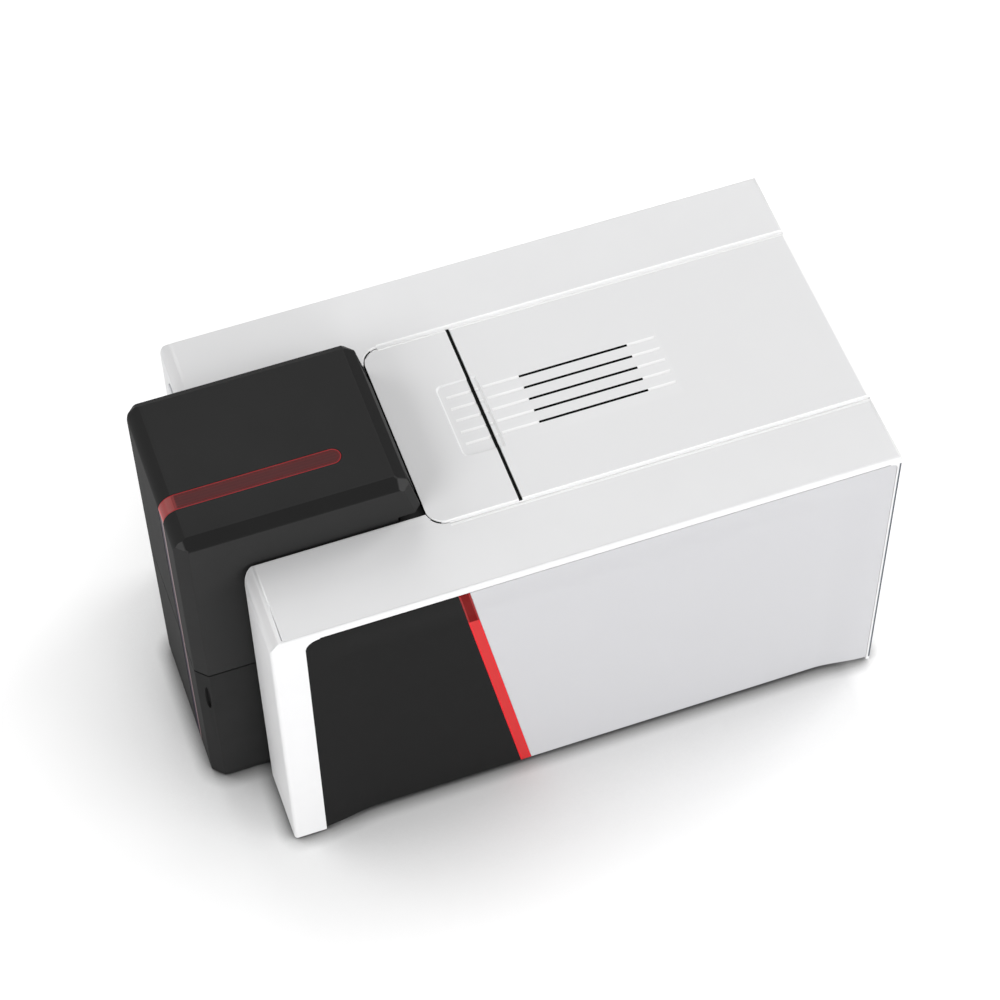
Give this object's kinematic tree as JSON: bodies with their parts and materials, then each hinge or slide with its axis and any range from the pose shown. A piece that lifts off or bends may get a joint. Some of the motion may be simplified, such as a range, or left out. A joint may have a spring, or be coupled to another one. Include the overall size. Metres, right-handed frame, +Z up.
{
  "type": "id card printer",
  "caption": "Desktop card printer with a hinged front feeder, an output hopper with a side-hinged door, and a rear-hinged hood over a ribbon print engine.",
  "frame": {"origin": "on the floor under the middle of the object's bounding box", "axes": "+Z up, +X to the right seen from the front, the feeder and hopper face -Y, the sockets face +Y"},
  "size_m": [0.205, 0.38, 0.234],
  "materials": {
    "white_shell": "satin moulded plastic",
    "black_shell": "fine-grained moulded plastic",
    "black_panel": "satin moulded plastic",
    "grey_panel": "satin moulded plastic",
    "accent_red": "glossy moulded plastic",
    "window_red": "clear tinted plastic",
    "dark_plastic": "moulded plastic",
    "grey_plastic": "moulded plastic",
    "bulkhead_plastic": "moulded plastic",
    "foot_rubber": "moulded rubber",
    "roller_rubber": "ground rubber on a steel shaft",
    "cleaning_rubber": "smooth tacky rubber",
    "belt_rubber": "toothed rubber",
    "steel_sheet": "zinc-plated sheet",
    "bright_steel": "ground rod",
    "pinch_steel": "turned",
    "bush_brass": "sintered",
    "gear_steel": "machined",
    "motor_metal": "black",
    "motor_can": "drawn can",
    "head_ceramic": "glazed strip on a finned sink",
    "card_white": "polished card",
    "ribbon_dye": "thin film",
    "ribbon_used": "thin film",
    "gauge_amber": "moulded plastic",
    "board_green": "solder mask",
    "port_metal": "plated shell",
    "button_silver": "moulded plastic",
    "lens_clear": "clear light pipe"
  },
  "bodies": {
    "machine": {"base_tray": "dark_plastic", "rubber_feet": "foot_rubber", "left_side_casing": "white_shell", "right_side_casing": "white_shell", "left_front_panel": "black_panel", "right_front_panel": "black_panel", "left_accent_stripe": "accent_red", "right_accent_stripe": "accent_red", "left_rear_side_panel": "grey_panel", "right_rear_side_panel": "grey_panel", "rear_panel": "dark_plastic", "front_bridge_cover": "white_shell", "front_bulkhead": "bulkhead_plastic", "left_frame_plate": "steel_sheet", "right_frame_plate": "steel_sheet", "hinge_crossmember": "steel_sheet", "hood_hinge_pin": "bright_steel", "feeder_hinge_rod": "bright_steel", "card_magazine": "dark_plastic", "card_stack": "card_white", "hopper_tray": "dark_plastic", "hopper_hinge_rod": "bright_steel", "output_cards": "card_white", "card_track": "grey_plastic", "shaft_bushes": "bush_brass", "drive_belts": "belt_rubber", "drive_motor": "motor_metal", "takeup_motor": "motor_can", "ribbon_film": "ribbon_dye", "main_board": "board_green", "cooling_fan": "dark_plastic", "data_ports": "port_metal", "power_inlet": "dark_plastic", "status_lenses": "lens_clear", "casing_screws": "bright_steel"},
    "hood": {"hood": "white_shell", "print_head_bracket": "grey_plastic", "print_head": "head_ceramic"},
    "feeder_cover": {"feeder_cover": "black_shell", "feeder_window": "window_red"},
    "hopper_door": {"hopper_door": "black_shell", "hopper_window": "window_red"},
    "card_pusher": {"card_pusher": "grey_plastic"},
    "card_gauge": {"card_gauge": "gauge_amber"},
    "feed_roller": {"feed_roller": "roller_rubber"},
    "entry_roller": {"entry_roller": "roller_rubber"},
    "front_transport_roller": {"front_transport_roller": "roller_rubber"},
    "platen_roller": {"platen_roller": "roller_rubber"},
    "rear_transport_roller": {"rear_transport_roller": "roller_rubber"},
    "tail_roller": {"tail_roller": "roller_rubber"},
    "cleaning_roller": {"cleaning_roller": "cleaning_rubber"},
    "front_pinch_roller": {"front_pinch_roller": "pinch_steel"},
    "rear_pinch_roller": {"rear_pinch_roller": "pinch_steel"},
    "tail_pinch_roller": {"tail_pinch_roller": "pinch_steel"},
    "motor_pinion": {"motor_pinion": "gear_steel"},
    "ribbon_supply_spool": {"ribbon_supply_spool": "ribbon_dye"},
    "ribbon_takeup_spool": {"ribbon_takeup_spool": "ribbon_used"},
    "fan_rotor": {"fan_rotor": "dark_plastic"},
    "power_switch": {"power_switch": "dark_plastic"},
    "control_button": {"control_button": "button_silver"}
  },
  "joints": [
    {"name": "hood_hinge", "type": "hinge", "parent": "machine", "child": "hood", "pos_m": [0, 0.1845, 0.198], "axis": [-1, 0, 0], "range_deg": [0, 80]},
    {"name": "feeder_cover_hinge", "type": "hinge", "parent": "machine", "child": "feeder_cover", "pos_m": [0, -0.07, 0.224], "axis": [-1, 0, 0], "range_deg": [0, 75]},
    {"name": "hopper_door_hinge", "type": "hinge", "parent": "machine", "child": "hopper_door", "pos_m": [-0.0455, -0.16, 0.055], "axis": [0, 0, -1], "range_deg": [0, 75]},
    {"name": "pusher_slide", "type": "slide", "parent": "machine", "child": "card_pusher", "axis": [0, 0, 1], "range_m": [0, 0.025]},
    {"name": "gauge_slide", "type": "slide", "parent": "machine", "child": "card_gauge", "axis": [0, 0, 1], "range_m": [0, 0.001]},
    {"name": "platen_spin", "type": "hinge", "parent": "machine", "child": "platen_roller", "pos_m": [0, 0.055, 0.1117], "axis": [1, 0, 0], "continuous": true},
    {"name": "feed_roller_spin", "type": "hinge", "parent": "machine", "child": "feed_roller", "pos_m": [0, -0.1105, 0.1117], "axis": [1, 0, 0], "continuous": true},
    {"name": "entry_roller_spin", "type": "hinge", "parent": "machine", "child": "entry_roller", "pos_m": [0, -0.045, 0.1117], "axis": [1, 0, 0], "continuous": true},
    {"name": "front_transport_spin", "type": "hinge", "parent": "machine", "child": "front_transport_roller", "pos_m": [0, 0.025, 0.1117], "axis": [1, 0, 0], "continuous": true},
    {"name": "rear_transport_spin", "type": "hinge", "parent": "machine", "child": "rear_transport_roller", "pos_m": [0, 0.095, 0.1117], "axis": [1, 0, 0], "continuous": true},
    {"name": "tail_roller_spin", "type": "hinge", "parent": "machine", "child": "tail_roller", "pos_m": [0, 0.135, 0.1117], "axis": [1, 0, 0], "continuous": true},
    {"name": "cleaning_roller_spin", "type": "hinge", "parent": "machine", "child": "cleaning_roller", "pos_m": [0, -0.045, 0.12606], "axis": [1, 0, 0], "continuous": true},
    {"name": "front_pinch_spin", "type": "hinge", "parent": "machine", "child": "front_pinch_roller", "pos_m": [0, 0.025, 0.12306], "axis": [1, 0, 0], "continuous": true},
    {"name": "rear_pinch_spin", "type": "hinge", "parent": "machine", "child": "rear_pinch_roller", "pos_m": [0, 0.095, 0.12306], "axis": [1, 0, 0], "continuous": true},
    {"name": "tail_pinch_spin", "type": "hinge", "parent": "machine", "child": "tail_pinch_roller", "pos_m": [0, 0.135, 0.12306], "axis": [1, 0, 0], "continuous": true},
    {"name": "motor_spin", "type": "hinge", "parent": "machine", "child": "motor_pinion", "pos_m": [0, 0.055, 0.0836], "axis": [1, 0, 0], "continuous": true},
    {"name": "takeup_spin", "type": "hinge", "parent": "machine", "child": "ribbon_takeup_spool", "pos_m": [0, 0.01, 0.15], "axis": [1, 0, 0], "continuous": true},
    {"name": "supply_spin", "type": "hinge", "parent": "machine", "child": "ribbon_supply_spool", "pos_m": [0, 0.108, 0.15], "axis": [1, 0, 0], "continuous": true},
    {"name": "fan_spin", "type": "hinge", "parent": "machine", "child": "fan_rotor", "pos_m": [0.062, 0.18, 0.092], "axis": [0, 1, 0], "continuous": true},
    {"name": "power_switch_rock", "type": "hinge", "parent": "machine", "child": "power_switch", "pos_m": [0.074, 0.1865, 0.04], "axis": [-1, 0, 0], "range_deg": [0, 10]},
    {"name": "control_button_press", "type": "slide", "parent": "machine", "child": "control_button", "axis": [0, 1, 0], "range_m": [0, 0.001], "stiffness_N_per_m": 1000, "springref_m": -0.0005}
  ],
  "couplings": [
    {"joint": "feed_roller_spin", "follows": "platen_spin", "ratio": 1},
    {"joint": "entry_roller_spin", "follows": "platen_spin", "ratio": 1},
    {"joint": "front_transport_spin", "follows": "platen_spin", "ratio": 1},
    {"joint": "rear_transport_spin", "follows": "platen_spin", "ratio": 1},
    {"joint": "tail_roller_spin", "follows": "platen_spin", "ratio": 1},
    {"joint": "cleaning_roller_spin", "follows": "platen_spin", "ratio": -0.85714},
    {"joint": "front_pinch_spin", "follows": "platen_spin", "ratio": -1.5},
    {"joint": "rear_pinch_spin", "follows": "platen_spin", "ratio": -1.5},
    {"joint": "tail_pinch_spin", "follows": "platen_spin", "ratio": -1.5},
    {"joint": "motor_spin", "follows": "platen_spin", "ratio": -3},
    {"joint": "supply_spin", "follows": "takeup_spin", "ratio": 0.71429}
  ]
}
